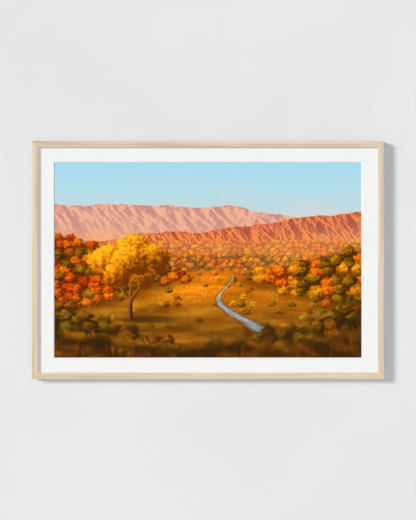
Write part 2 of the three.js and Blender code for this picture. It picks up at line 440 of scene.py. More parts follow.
@dataclass(frozen=True)
class Woods:
    """A stand of round trees between two lines, each tree a cell of its own."""

    crown: float  # a crown's width
    crest: Line
    foot: Line
    kinds: tuple[Foliage, Foliage, Foliage]
    seed: float
    haze: float = 0.0
    thin: float = 0.0  # the share of the trees that is left out
    squat: float = 0.8  # a crown's height to its width
    ragged: float = 0.9  # how far the crowns' edges are ruffled
    shadow: float = 0.0  # how dark the stand's shadow is
    ruffles: float = 3.1  # how many come to a crown's width, as with tufts and leaves
    tufts: float = 3.3
    leaves: float = 2.6

    @property
    def tall(self) -> float:
        """A crown's height."""
        return self.crown * self.squat

    @property
    def shift(self) -> tuple[float, float]:
        """How far the stand's cells are moved, so that no two stands are alike."""
        return self.seed * 7.3, self.seed * 3.1

    def paint(self, picture: "Landscape", under: Socket) -> Socket:
        """Paints the trees over what lies behind them.

        Args:
            picture: The landscape that they stand in.
            under: The colour so far.

        Returns:
            The colour with the trees on it.
        """
        sheet = picture.sheet
        crowns = self._crowns(picture)
        inside = self._inside(sheet, crowns)
        if self.thin:
            kept = sheet.spread(crowns.second_chance, self.thin - 0.01, self.thin + 0.01) * inside
            cover = sheet.spread(crowns.apart, 0.46, 0.38) * kept
            under = sheet.mix(self._ground_shade(sheet, crowns) * kept * 0.75, under, GROUND_SHADE)
        else:
            cover = self._canopy(picture, crowns, inside)
        if self.shadow:
            under = sheet.mix(self._shadow(picture) * self.shadow, under, GROUND_SHADE)
        return sheet.mix(cover, under, self._leaf_colour(sheet, crowns))

    def _crowns(self, picture: "Landscape") -> Cells:
        """Divides the picture into cells with ruffled edges, one to a tree.

        Args:
            picture: The landscape that they stand in.

        Returns:
            The cells, a crown's width and height to each.
        """
        sheet = picture.sheet
        shift_x, shift_y = self.shift
        x = picture.across / self.crown + shift_x
        y = picture.up / self.tall + shift_y
        ruffle_x, ruffle_y = (
            sheet.noise(sheet.join(x * self.ruffles, y * self.ruffles, seed), 3.0, 0.65) - 0.5
            for seed in (self.seed, self.seed + 9)
        )
        return sheet.cells(x + ruffle_x * self.ragged, y + ruffle_y * self.ragged, scatter=0.85)

    def _inside(self, sheet: NodeSheet, crowns: Cells) -> Signal:
        """Tells which trees have their middles between the stand's two lines.

        Args:
            sheet: The nodes that it is added to.
            crowns: The trees' cells.

        Returns:
            1 for those trees and 0 for the others.
        """
        shift_x, shift_y = self.shift
        across = (crowns.middle_x - shift_x) * self.crown
        up = (crowns.middle_y - shift_y) * self.tall
        below = self.crest.height(sheet, across) - up
        above = up - self.foot.height(sheet, across)
        return sheet.spread(below.least(above), -0.001, 0.001)

    def _canopy(self, picture: "Landscape", crowns: Cells, inside: Signal) -> Signal:
        """Closes the stand, with round crowns along its edges.

        Args:
            picture: The landscape that they stand in.
            crowns: The trees' cells.
            inside: Which trees stand between the lines.

        Returns:
            How much of what lies behind is covered.
        """
        sheet = picture.sheet
        below = self.crest.height(sheet, picture.across) - picture.up
        above = picture.up - self.foot.height(sheet, picture.across)
        closed = sheet.spread(below.least(above), self.crown * 0.35, self.crown * 0.5)
        return (inside * sheet.spread(crowns.apart, 0.62, 0.5)).most(closed)

    def _leaf_colour(self, sheet: NodeSheet, crowns: Cells) -> Socket:
        """Lights each crown from the upper left and gives each tree one of the kinds' colours.

        Args:
            sheet: The nodes that it is added to.
            crowns: The trees' cells.

        Returns:
            The leaves' colour, with the haze before them.
        """
        at = sheet.join(crowns.x * self.leaves, crowns.y * self.leaves, self.seed + 4)
        leaves = sheet.noise(at, 5.0, 0.78)
        tufts = sheet.cells(crowns.x * self.tufts, crowns.y * self.tufts).slope(0.75, 0.6)
        lit = crowns.slope(0.72, 0.62) * 0.75 + tufts * 0.42 + (leaves - 0.5) * 1.7 + 0.5
        edge = sheet.spread(crowns.apart, 0.3, 0.62)
        lit = lit + (crowns.second_chance - 0.5) * 0.3 - edge * 0.42
        first, second, third = (kind.colour(sheet, lit) for kind in self.kinds)
        colour = sheet.mix(sheet.spread(crowns.chance, 0.36, 0.42), first, second)
        colour = sheet.mix(sheet.spread(crowns.chance, 0.7, 0.76), colour, third)
        return sheet.mix(self.haze, colour, HAZE) if self.haze else colour

    def _ground_shade(self, sheet: NodeSheet, crowns: Cells) -> Signal:
        """Gives the oval shade below and right of each tree of a thin stand.

        Args:
            sheet: The nodes that it is added to.
            crowns: The trees' cells.

        Returns:
            The shade, from 0 to 1.
        """
        x = (crowns.x - crowns.middle_x - 0.16) / 0.58
        y = (crowns.y - crowns.middle_y + 0.34) / 0.24
        return sheet.spread(sheet.math("SQRT", x * x + y * y), 1.1, 0.5)

    def _shadow(self, picture: "Landscape") -> Signal:
        """Gives the shade that the stand throws on the ground below its foot.

        Args:
            picture: The landscape that it stands in.

        Returns:
            The shade, from 0 to 1.
        """
        sheet = picture.sheet
        foot = self.foot.height(sheet, picture.across)
        crest = self.crest.height(sheet, picture.across)
        below = sheet.spread(foot - picture.up, 0.06, -0.01)
        ground = sheet.spread(picture.up - crest, 0.0, -0.03)
        return below * ground * sheet.spread(crest - foot, -0.03, 0.09)


@dataclass(frozen=True)
class Hills:
    """A bare range of hills against the sky."""

    crest: Line
    lit: Colour
    shade: Colour
    folds: float  # how many gullies come to a picture height
    haze_foot: float  # how far below the crest the haze is thickest
    haze: float  # its share at the crest

    def paint(self, picture: "Landscape", under: Socket) -> Socket:
        """Paints the hills over what lies behind them.

        Args:
            picture: The landscape that they stand in.
            under: The colour so far.

        Returns:
            The colour with the hills on it.
        """
        sheet = picture.sheet
        down = self.crest.height(sheet, picture.across) - picture.up
        slant = picture.across + picture.up * 0.6
        level = picture.up * self.folds * 0.7
        here, beside = (
            sheet.ridges(sheet.join((slant + shift) * self.folds, level, self.crest.seed))
            for shift in (0.0, -0.14 / self.folds)
        )
        lit = (here - beside) * 1.5 + (here - 0.5) * 0.5 + 0.5
        colour = sheet.ramp(lit, [(0.15, self.shade), (0.85, self.lit)])
        fade = sheet.spread(down, 0.0, self.haze_foot) * (1 - self.haze) + self.haze
        colour = sheet.mix(fade, colour, HAZE)
        return sheet.mix(sheet.spread(down, 0.0, 0.003), under, colour)


@dataclass(frozen=True)
class BroadTree:
    """One near tree with a spreading crown, made of leafy clumps on a forked trunk."""

    across: float
    foot: float
    fork: float
    trunk: float  # half its width at the foot
    clumps: tuple[tuple[float, float, float], ...]  # right of the trunk, up, and radius
    leaves: Foliage
    seed: float
    limbs: tuple[float, float, float] = (-0.32, 0.04, 0.36)  # how steeply each leans right

    def paint(self, picture: "Landscape", under: Socket) -> Socket:
        """Paints the tree over what lies behind it.

        Args:
            picture: The landscape that it stands in.
            under: The colour so far.

        Returns:
            The colour with the tree on it.
        """
        sheet = picture.sheet
        colour = self._paint_trunk(picture, self._paint_shadow(picture, under))
        leaves = picture.noise(46, 46, self.seed, 4.0, 0.72)
        edge = (picture.noise(17, 17, self.seed, 6.0, 0.78) - 0.5) * 2.0
        whole = (picture.up - self.fork) * 1.2 - (picture.across - self.across) * 0.8
        for clump_across, clump_up, radius in self.clumps:
            x = (picture.across - (self.across + clump_across)) / radius
            y = (picture.up - clump_up) / (radius * 0.8)
            reach = sheet.math("SQRT", x * x + y * y) + edge
            cover = sheet.spread(reach, 1.0, 0.9)
            lit = y * 0.36 - x * 0.3 + (leaves - 0.5) * 2.4 + whole + 0.3
            colour = sheet.mix(cover, colour, self.leaves.colour(sheet, lit))
        return colour

    def _paint_shadow(self, picture: "Landscape", under: Socket) -> Socket:
        """Paints the long shadow that the tree throws to the right over the grass.

        Args:
            picture: The landscape that it stands in.
            under: The colour so far.

        Returns:
            The colour with the shadow on it.
        """
        sheet = picture.sheet
        x = (picture.across - self.across - 0.1) / 0.19
        y = (picture.up - self.foot + 0.006) / 0.024
        blades = picture.noise(60, 60, 0.0, 3.0, 0.7) - 0.5
        reach = sheet.math("SQRT", x * x + y * y) + blades * 0.9
        return sheet.mix(sheet.spread(reach, 1.1, 0.5) * 0.72, under, tone(64, 34, 2))

    def _paint_trunk(self, picture: "Landscape", under: Socket) -> Socket:
        """Paints the trunk and its limbs, which widen to the root.

        Args:
            picture: The landscape that it stands in.
            under: The colour so far.

        Returns:
            The colour with the trunk on it.
        """
        sheet = picture.sheet
        up = picture.up - self.foot
        height = self.fork - self.foot
        between = sheet.spread(up, -0.006, 0.0) * sheet.spread(up, height * 1.15, height)
        bark = [(0.2, tone(44, 24, 8)), (0.8, tone(176, 108, 46))]
        colour = under
        for lean in self.limbs:
            bend = sheet.spread(up, height * 0.3, height, 0.0, lean * height)
            width = sheet.spread(up, 0.0, height, self.trunk, self.trunk * 0.4)
            off = picture.across - self.across - bend
            cover = sheet.spread(sheet.math("ABSOLUTE", off) - width, 0.002, -0.001) * between
            side = off / self.trunk * -0.5 + 0.5
            colour = sheet.mix(cover, colour, sheet.ramp(side, bark))
        return colour


@dataclass(frozen=True)
class Stream:
    """A brook that winds down from the far meadow and widens as it nears."""

    head: float = 0.43  # where it comes into sight
    start: float = 0.12  # how far right of the middle that is
    sway: float = 0.24
    mouth: float = 0.12
    source: float = 0.0035  # half its width at the head
    bends: float = 8.2  # in radians, down its whole length

    def paint(self, picture: "Landscape", under: Socket) -> Socket:
        """Paints the water and its dark banks over the meadow.

        Args:
            picture: The landscape that it runs through.
            under: The colour so far.

        Returns:
            The colour with the water on it.
        """
        sheet = picture.sheet
        near = sheet.math("DIVIDE", self.head - picture.up, self.head, clamp=True)
        turn = sheet.math("SINE", sheet.math("POWER", near, 0.55) * self.bends + 0.9)
        middle = turn * near * self.sway + self.start
        width = near * near * self.mouth + self.source
        shores = picture.noise(14, 34, 0.0, 5.0, 0.75) - 0.5
        off = sheet.math("ABSOLUTE", picture.across - middle) + shores * near * 0.11
        ripples = picture.noise(22, 74, 4.0, 4.0, 0.6, 0.5)
        glow = sheet.spread(ripples, 0.24, 0.66)
        water = sheet.mix(glow, tone(168, 140, 104), tone(204, 220, 222))
        water = sheet.mix(sheet.spread(off / width, 0.2, 1.0) * 0.8, water, tone(132, 78, 20))
        bank = sheet.mix(0.5, under, tone(84, 46, 6))
        at_water = sheet.spread(picture.up, self.head + 0.004, self.head - 0.004)
        banked = sheet.mix(sheet.spread(off / width, 1.5, 1.15) * at_water, under, bank)
        return sheet.mix(sheet.spread(off / width, 1.03, 0.95) * at_water, banked, water)


BELOW_ALL = Line(-1.0)

BEHIND_THE_MEADOW = (
    Hills(
        Line(0.765, tilt=-0.07, swell=0.2, pace=1.5, seed=1.4, ragged=0.008),
        tone(252, 190, 160),
        tone(206, 142, 142),
        folds=9.0,
        haze_foot=0.3,
        haze=0.12,
    ),
    Hills(
        Line(0.665, tilt=0.09, swell=0.17, pace=2.1, seed=4.2, ragged=0.012),
        tone(250, 140, 82),
        tone(176, 78, 56),
        folds=16.0,
        haze_foot=0.35,
        haze=0.04,
    ),
    Woods(
        0.027,
        Line(0.6, swell=0.09, pace=3, seed=2.2),
        BELOW_ALL,
        (ORANGE, RUST, GOLD),
        seed=1.0,
        haze=0.34,
    ),
    Woods(
        0.034,
        Line(0.535, swell=0.06, pace=4, seed=6.2),
        BELOW_ALL,
        (GOLD, ORANGE, OLIVE),
        seed=2.0,
        haze=0.14,
    ),
)

ON_THE_MEADOW = (
    Woods(
        0.038,
        Line(0.45),
        Line(0.36),
        (GOLD, OLIVE, ORANGE),
        seed=3.0,
        haze=0.05,
        thin=0.62,
        ragged=0.6,
    ),
    Woods(
        0.052,
        Line(0.35),
        Line(0.14),
        (BROWN, OLIVE, GOLD),
        seed=3.6,
        thin=0.78,
        squat=0.7,
        ragged=0.6,
    ),
    Woods(
        0.056,
        Line(0.42, tilt=-0.29, swell=0.06, seed=3.0),
        Line(0.43, tilt=0.27),
        (ORANGE, OLIVE, RUST),
        seed=4.0,
        shadow=0.7,
    ),
    Woods(
        0.062,
        Line(0.385, tilt=0.25, swell=0.06, seed=5.0),
        Line(0.44, tilt=-0.27),
        (OLIVE, ORANGE, GOLD),
        seed=5.0,
        shadow=0.7,
    ),
    Stream(),
    Woods(
        0.07,
        Line(0.1, bow=0.36, swell=0.08, seed=9.0),
        BELOW_ALL,
        (BROWN, DEEP, OLIVE),
        seed=7.0,
    ),
    BroadTree(
        across=-0.4,
        foot=0.2,
        fork=0.42,
        trunk=0.013,
        clumps=(
            (0.02, 0.56, 0.1),
            (-0.11, 0.5, 0.1),
            (0.12, 0.5, 0.1),
            (-0.06, 0.43, 0.08),
            (0.07, 0.41, 0.075),
            (0.0, 0.49, 0.1),
        ),
        leaves=GOLD,
        seed=11.0,
    ),
)


@dataclass(frozen=True)
class Landscape:
    """An invented autumn valley, painted by nodes over a sheet of paper."""

    sheet: NodeSheet
    across: Signal  # right of the picture's middle
    up: Signal  # above the picture's foot

    def noise(self, across: float, up: float, seed: float, *layers: float) -> Signal:
        """Adds noise over the picture, by its waves to a picture height and noise's settings."""
        at = self.sheet.join(self.across * across, self.up * up, seed)
        return self.sheet.noise(at, *layers)

    def paint(self) -> Socket:
        """Paints the layers from the sky to the nearest grasses.

        Returns:
            The picture's colour.
        """
        colour = self._sky()
        for layer in BEHIND_THE_MEADOW:
            colour = layer.paint(self, colour)
        colour = self._meadow(colour)
        for layer in ON_THE_MEADOW:
            colour = layer.paint(self, colour)
        return self._daylight(self._foreground(colour))

    def _sky(self) -> Socket:
        """Paints the clear sky, with thin evening cloud near the hills.

        Returns:
            The sky's colour.
        """
        sheet = self.sheet
        blue = sheet.ramp(
            self.up,
            [
                (0.66, tone(236, 218, 204)),
                (0.76, tone(202, 226, 231)),
                (0.88, tone(186, 229, 243)),
                (1.0, tone(174, 225, 246)),
            ],
        )
        cloud = sheet.spread(self.noise(2.4, 15.2, 3.2, 5.0, 0.58, 0.5), 0.5, 0.78)
        low = sheet.spread(self.up, 0.95, 0.7)
        return sheet.mix(cloud * low * 0.7, blue, tone(248, 224, 204))

    def _meadow(self, under: Socket) -> Socket:
        """Paints golden grass, brighter as it goes back.

        Args:
            under: The colour so far.

        Returns:
            The colour with the grass on it.
        """
        sheet = self.sheet
        crest = Line(0.445, swell=0.03, pace=4, seed=3.3).height(sheet, self.across)
        swathes = self.noise(3.4, 19, 5.0, 5.0, 0.6)
        blades = self.noise(150, 46, 1.0, 5.0, 0.75)
        lit = (swathes - 0.5) * 1.6 + (blades - 0.5) * 1.3 + 0.5
        back = sheet.spread(self.up, 0.12, 0.42)
        grass = sheet.mix(back, NEAR_GRASS.colour(sheet, lit), FAR_GRASS.colour(sheet, lit))
        return sheet.mix(sheet.spread(crest - self.up, 0.0, 0.006), under, grass)

    def _foreground(self, under: Socket) -> Socket:
        """Paints dark grasses along the foot, with lit tips.

        Args:
            under: The colour so far.

        Returns:
            The colour with the grasses on it.
        """
        sheet = self.sheet
        lean = self.across + sheet.spread(self.up, 0.0, 0.3) * 0.05
        blades = sheet.noise(sheet.join(lean * 72, self.up * 11, 8.0), 7.0, 0.8)
        crest = Line(0.075, bow=0.12, swell=0.1, pace=3, seed=7.7).height(sheet, self.across)
        top = crest + (blades - 0.5) * 0.22
        tips = sheet.spread(top - self.up, 0.05, 0.0)
        clumps = self.noise(9, 16, 2.5, 3.0, 0.6)
        lit = (blades - 0.5) * 2.6 + (clumps - 0.5) * 1.6 + tips * 0.55 + 0.22
        dry = sheet.spread(clumps, 0.44, 0.58)
        grass = sheet.mix(dry, DEEP.colour(sheet, lit), BROWN.colour(sheet, lit))
        return sheet.mix(sheet.spread(top - self.up, 0.0, 0.01), under, grass)

    def _daylight(self, under: Socket) -> Socket:
        """Shades the land in patches and towards its sides and foot, and warms the far woods.

        Args:
            under: The colour so far.

        Returns:
            The shaded and warmed colour.
        """
        sheet = self.sheet
        patches = sheet.spread(self.noise(2.2, 3.4, 6.0, 2.0, 0.5), 0.5, 0.34)
        side = sheet.spread(sheet.math("ABSOLUTE", self.across), 0.3, 0.85)
        foot = sheet.spread(self.up, 0.36, 0.16)
        shade = patches * 0.26 + side * 0.12 + foot * 0.3
        land = sheet.spread(self.up, 0.62, 0.5)
        shaded = sheet.mix(shade * land, under, tone(44, 20, 0))
        sunlit = sheet.spread(self.up, 0.24, 0.36) * sheet.spread(self.up, 0.66, 0.56)
        return sheet.mix(sunlit, shaded, SUNSET, blend_type="MULTIPLY", clamp_result=True)


@dataclass(frozen=True)
class PrintFinish:
    """Satin paper with the landscape on its face and bare white behind."""

    name: str = "printed_paper"
    picture_height: float = 521.6 * MM

    def make(self) -> Material:
        """Makes the material round the print's own place.

        Returns:
            The material.
        """
        sheet = NodeSheet(self.name)
        middle = middle_of("print_sheet")
        foot = middle.z - self.picture_height / 2
        scale = 1 / self.picture_height
        place = sheet.place((scale,) * 3, (-middle.x * scale, 0, -foot * scale))
        across, _, up = sheet.split(place)
        picture = Landscape(sheet, across, up).paint()
        _, towards_wall, _ = sheet.split(sheet.add("NewGeometry").outputs["Normal"])
        printed = sheet.spread(towards_wall, -0.4, -0.6)
        tooth = sheet.pattern(2600, 2.0)
        return sheet.surface(
            {
                "Base Color": sheet.mix(printed, tone(242, 240, 234), picture),
                "Roughness": sheet.spread(tooth, 0.3, 0.7, 0.62, 0.74),
                "Specular IOR Level": 0.02,
                "Normal": sheet.bump(tooth, 0.02 * MM, 0.4),
            }
        )


# The other finishes


class Grain(Enum):
    """Which way a rail's grain runs."""

    LEVEL = "level"
    UPRIGHT = "upright"

    def waves(self, along: float, across: float) -> tuple[float, float, float]:
        """Gives a pattern's waves along each axis.

        Args:
            along: How many to a metre along the grain.
            across: How many to a metre across it.

        Returns:
            The waves to a metre along X, Y and Z.
        """
        if self is Grain.LEVEL:
            return along, across, across
        return across, across, along


@dataclass(frozen=True)
class WoodFinish:
    """Pale close-grained hardwood under a clear satin coat."""

    way: Grain
    pale: Colour = tone(238, 221, 196)
    middle: Colour = tone(227, 207, 179)
    dark: Colour = tone(205, 180, 147)
    warm: Colour = tone(232, 204, 180)
    pore: Colour = tone(176, 144, 108)
    boards: tuple[float, float] = (1.3, 95)  # waves to a metre along and across the grain
    streaks: tuple[float, float] = (5, 420)
    fibres: tuple[float, float] = (28, 1900)
    pits: tuple[float, float] = (120, 1500)

    def make(self) -> Material:
        """Makes the material with streaks, fibres and pores along the grain.

        Returns:
            The material.
        """
        sheet = NodeSheet(f"pale_wood_{self.way.value}")
        boards, fibres, pits = (
            sheet.pattern(self.way.waves(*waves), 3.0, 0.6, 0.15)
            for waves in (self.boards, self.fibres, self.pits)
        )
        streaks = sheet.pattern(self.way.waves(*self.streaks), 4.0, 0.6, 0.15)
        pores = sheet.spread(pits, 0.64, 0.74)
        shade = boards * 0.35 + streaks * 0.45 + fibres * 0.2
        wood = sheet.ramp(shade, [(0.39, self.dark), (0.49, self.middle), (0.6, self.pale)])
        warmed = sheet.mix(sheet.spread(boards, 0.5, 0.68) * 0.3, wood, self.warm)
        return sheet.surface(
            {
                "Base Color": sheet.mix(pores * 0.35, warmed, self.pore),
                "Roughness": sheet.spread(streaks, 0.3, 0.7, 0.42, 0.56),
                "Specular IOR Level": 0.4,
                "Normal": sheet.bump(fibres * 0.5 - pores, 0.05 * MM, 0.5),
            }
        )


@dataclass(frozen=True)
class BoardFinish:
    """Plain white board with a faint paper tooth."""

    name: str
    colour: Colour
    mottled: Colour
    tooth: float = 1500.0  # fibres to a metre

    def make(self) -> Material:
        """Makes the material with its fibres and tooth.

        Returns:
            The material.
        """
        sheet = NodeSheet(self.name)
        cloud = sheet.pattern(22, 4.0)
        fibres = sheet.pattern(self.tooth, 3.0, 0.65)
        share = sheet.spread(cloud * 0.5 + fibres * 0.5, 0.36, 0.64)
        return sheet.surface(
            {
                "Base Color": sheet.mix(share, self.mottled, self.colour),
                "Roughness": sheet.spread(fibres, 0.3, 0.7, 0.84, 0.93),
                "Specular IOR Level": 0.2,
                "Normal": sheet.bump(fibres, 0.03 * MM, 0.35),
            }
        )


@dataclass(frozen=True)
class AcrylicFinish:
    """Clear acrylic sheet with a coat that keeps reflections down."""

    name: str = "clear_acrylic"
    head_on: float = 0.004  # the share that is mirrored straight in front
    tint: Colour = (0.994, 0.994, 0.994, 1.0)

    def make(self) -> Material:
        """Makes the clear material, glossier where it is seen aslant.

        Returns:
            The material.
        """
        sheet = NodeSheet(self.name)
        clear = sheet.add("BsdfTransparent", {"Color": self.tint})
        gloss = sheet.add("BsdfGlossy", {"Color": (1, 1, 1, 1), "Roughness": 0.03})
        aslant = sheet.signal(sheet.add("LayerWeight", {"Blend": 0.5}).outputs["Facing"])
        mirrored = sheet.math("POWER", aslant, 5.0) * (1 - self.head_on) + self.head_on
        both = sheet.add("MixShader", {0: mirrored, 1: clear.outputs[0], 2: gloss.outputs[0]})
        return sheet.show(both.outputs[0])


@dataclass(frozen=True)
class HardboardFinish:
    """Brown pressed-fibre board with darker flecks."""

    name: str = "hardboard"
    dark: Colour = tone(106, 75, 48)
    middle: Colour = tone(134, 98, 66)
    pale: Colour = tone(162, 124, 88)
    fleck: Colour = tone(84, 56, 34)

    def make(self) -> Material:
        """Makes the material with matted fibres and flecks.

        Returns:
            The material.
        """
        sheet = NodeSheet(self.name)
        cloud = sheet.pattern(9, 4.0, 0.55)
        fibres = sheet.pattern(520, 5.0, 0.74, 0.35)
        threads = sheet.pattern((190, 190, 1300), 4.0, 0.7, 0.8)
        flecks = sheet.spread(sheet.pattern((900, 900, 420), 2.0), 0.68, 0.76)
        shade = cloud * 0.12 + fibres * 0.58 + threads * 0.3
        brown = sheet.ramp(shade, [(0.34, self.dark), (0.5, self.middle), (0.66, self.pale)])
        return sheet.surface(
            {
                "Base Color": sheet.mix(flecks * 0.5, brown, self.fleck),
                "Roughness": sheet.spread(fibres, 0.3, 0.7, 0.66, 0.82),
                "Specular IOR Level": 0.3,
                "Normal": sheet.bump(fibres, 0.12 * MM, 0.5),
            }
        )


@dataclass(frozen=True)
class MetalFinish:
    """Plated or bare sheet metal with fine scratches and smudges."""

    name: str
    bright: Colour
    dull: Colour
    scratches: tuple[float, float, float]  # to a metre along each axis
    roughness: tuple[float, float]  # where it is cleanest and where it is most smudged

    def make(self) -> Material:
        """Makes the material.

        Returns:
            The material.
        """
        sheet = NodeSheet(self.name)
        scratches = sheet.pattern(self.scratches)
        smudges = sheet.pattern(190)
        clean = sheet.spread(smudges * 0.6 + scratches * 0.4, 0.35, 0.65)
        return sheet.surface(
            {
                "Base Color": sheet.mix(clean, self.dull, self.bright),
                "Metallic": 1.0,
                "Roughness": sheet.spread(smudges, 0.3, 0.7, *self.roughness),
                "Normal": sheet.bump(scratches, 0.02 * MM, 0.3),
            }
        )


class Metal(Enum):
    """The two metals on the frame's back."""

    STEEL = MetalFinish(
        "steel", tone(182, 184, 188), tone(142, 143, 148), (2600, 2600, 160), (0.34, 0.5)
    )
    NICKEL = MetalFinish(
        "nickel_plate", tone(228, 225, 217), tone(208, 204, 194), (900, 900, 900), (0.18, 0.34)
    )


@dataclass(frozen=True)
class PaintFinish:
    """Matt pale paint for the studio's wall and floor."""

    name: str
    light: Colour
    dark: Colour
    one_sided: bool = False

    def make(self) -> Material:
        """Makes the paint. A one-sided wall shows only to a camera in front of it.

        Returns:
            The material.
        """
        sheet = NodeSheet(self.name)
        cloud = sheet.pattern(1.6, 3.0, 0.5)
        stipple = sheet.pattern(420)
        shader = sheet.add(
            "BsdfPrincipled",
            {
                "Base Color": sheet.mix(sheet.spread(cloud, 0.3, 0.7), self.dark, self.light),
                "Roughness": sheet.spread(stipple, 0.3, 0.7, 0.86, 0.94),
                "Specular IOR Level": 0.2,
                "Normal": sheet.bump(stipple, 0.1 * MM, 0.3),
            },
        )
        if not self.one_sided:
            return sheet.show(shader.outputs[0])
        from_camera = sheet.signal(sheet.add("LightPath").outputs["Is Camera Ray"])
        behind = sheet.signal(sheet.add("NewGeometry").outputs["Backfacing"])
        clear = sheet.add("BsdfTransparent")
        shown = from_camera * (1 - behind)
        both = sheet.add("MixShader", {0: shown, 1: clear.outputs[0], 2: shader.outputs[0]})
        return sheet.show(both.outputs[0])


# Modelling by hand


ALONG = 0.9  # a direction with this much of an axis in it runs along that axis


class Part(Enum):
    """The parts of a mesh that edit mode can select."""

    VERT = "VERT"
    EDGE = "EDGE"
    FACE = "FACE"


def take(piece: Piece) -> None:
    """Selects only one piece and makes it active.

    Args:
        piece: The piece.
    """
    bpy.ops.object.select_all(action="DESELECT")
    piece.select_set(True)
    bpy.context.view_layer.objects.active = piece


def settle(piece: Piece) -> None:
    """Puts the piece's place, turn and size into its mesh."""
    take(piece)
    bpy.ops.object.transform_apply(location=True, rotation=True, scale=True)


def begin(name: str, primitive: Callable[..., object], **settings: object) -> Piece:
    """Adds a primitive as the start of a piece, with nothing else selected.

    Args:
        name: The piece's name.
        primitive: The operator that adds it.
        settings: The operator's own settings.

    Returns:
        The primitive.
    """
    bpy.ops.object.select_all(action="DESELECT")
    primitive(**settings)
    piece = bpy.context.active_object
    piece.name = piece.data.name = name
    return piece


def block(name: str, low: Sequence[float], high: Sequence[float]) -> Piece:
    """Adds a block between two corners, as the start of a piece or a cutter.

    Args:
        name: The piece's name.
        low: Its lowest corner.
        high: Its highest corner.

    Returns:
        The block.
    """
    low, high = Vector(low), Vector(high)
    piece = begin(name, bpy.ops.mesh.primitive_cube_add, size=1, location=(low + high) / 2)
    piece.scale = high - low
    settle(piece)
    return piece


def copy_of(piece: Piece, name: str) -> Piece:
    """Copies a piece with a mesh of its own.

    Args:
        piece: What is copied.
        name: The copy's name.

    Returns:
        The copy.
    """
    copy = piece.copy()
    copy.data = piece.data.copy()
    copy.name = copy.data.name = name
    bpy.context.scene.collection.objects.link(copy)
    return copy


def put(piece: Piece, at: Sequence[float], turn: float = 0.0) -> Piece:
    """Turns a piece about Y, moves it and settles it.

    Args:
        piece: Modelled round the origin.
        at: Where its origin goes.
        turn: In radians.

    Returns:
        The piece.
    """
    piece.rotation_euler = (0, turn, 0)
    piece.location = at
    settle(piece)
    return piece


@contextmanager
def editing(piece: Piece) -> Iterator[None]:
    """Opens a piece in edit mode with nothing selected, and closes it again.

    Args:
        piece: The piece.

    Yields:
        Nothing, while its points, edges and faces can be picked.
    """
    take(piece)
    bpy.ops.object.mode_set(mode="EDIT")
    bpy.ops.mesh.select_mode(type=Part.VERT.value)
    bpy.ops.mesh.select_all(action="DESELECT")
    try:
        yield
    finally:
        bpy.ops.object.mode_set(mode="OBJECT")


def pick(piece: Piece, part: Part, test: Callable[[Vector, Vector], bool]) -> None:
    """Selects only the parts of a piece in edit mode that pass a test.

    Args:
        piece: The piece in edit mode.
        part: What is selected.
        test: Given each part's middle, with its normal, or an edge's direction.
    """
    bpy.ops.mesh.select_mode(type=part.value)
    bpy.ops.mesh.select_all(action="DESELECT")
    mesh = bmesh.from_edit_mesh(piece.data)
    if part is Part.VERT:
        rows = [(point, point.co, point.normal) for point in mesh.verts]
    elif part is Part.EDGE:
        ends = [(edge, edge.verts[0].co, edge.verts[1].co) for edge in mesh.edges]
        rows = [(edge, (first + last) / 2, (last - first).normalized()) for edge, first, last in ends]
    else:
        rows = [(face, face.calc_center_median(), face.normal) for face in mesh.faces]
    for element, middle, direction in rows:
        if test(middle, direction):
            element.select_set(True)
    mesh.select_flush_mode()
    bmesh.update_edit_mesh(piece.data)


def near(value: float, target: float, room: float = 0.02 * MM) -> bool:
    """Tells whether two values are the same within the room given."""
    return abs(value - target) < room


def extrude(move: Sequence[float]) -> None:
    """Extrudes what is selected by a move."""
    bpy.ops.mesh.extrude_region_move(TRANSFORM_OT_translate={"value": tuple(move)})


def round_off(width: float, steps: int, affect: str = "EDGES") -> None:
    """Rounds the selected edges or points off by a width, in this many steps."""
    bpy.ops.mesh.bevel(offset=width, segments=steps, affect=affect)


def saw(at: Sequence[float], normal: Sequence[float]) -> None:
    """Cuts the whole mesh in edit mode by a plane and closes it, keeping the side behind."""
    bpy.ops.mesh.select_all(action="SELECT")
    bpy.ops.mesh.bisect(plane_co=tuple(at), plane_no=tuple(normal), use_fill=True, clear_outer=True)


def face_out() -> None:
    """Turns all the faces of the mesh in edit mode outwards."""
    bpy.ops.mesh.select_all(action="SELECT")
    bpy.ops.mesh.normals_make_consistent(inside=False)


def apply_modifier(piece: Piece, kind: str, **settings: object) -> None:
    """Adds a modifier and applies it.

    Args:
        piece: The piece.
        kind: The modifier's type.
        settings: The modifier's own settings.
    """
    modifier = piece.modifiers.new(kind.lower(), kind)
    for name, value in settings.items():
        setattr(modifier, name, value)
    take(piece)
    bpy.ops.object.modifier_apply(modifier=modifier.name)


def soften(piece: Piece, width: float) -> None:
    """Rounds all of a piece's sharp edges off in two steps."""
    apply_modifier(piece, "BEVEL", width=width, segments=2, limit_method="ANGLE")


def carve(piece: Piece, cutter: Piece) -> None:
    """Cuts a shape out of a piece and throws the cutter away."""
    apply_modifier(piece, "BOOLEAN", operation="DIFFERENCE", solver="EXACT", object=cutter)
    bpy.data.objects.remove(cutter)


def smooth(piece: Piece, degrees: float = 35.0) -> None:
    """Shades a piece smooth, except over edges sharper than this."""
    take(piece)
    bpy.ops.object.shade_smooth_by_angle(angle=math.radians(degrees))


def fit(
    piece: Piece, materials: Sequence[Material], nodes: Sequence[str], body: str = BODY
) -> None:
    """Gives a finished piece its materials, its body, and the nodes that it stands for.

    Args:
        piece: The finished piece.
        materials: Its materials, the main one first.
        nodes: The CAD nodes that it replaces.
        body: The body that it rides on.
    """
    for index, material in enumerate(materials):
        if index < len(piece.data.materials):
            piece.data.materials[index] = material
        else:
            piece.data.materials.append(material)
    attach(piece, body)
    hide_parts(*nodes)
    log.info("%s: %d faces on %s", piece.name, len(piece.data.polygons), body)


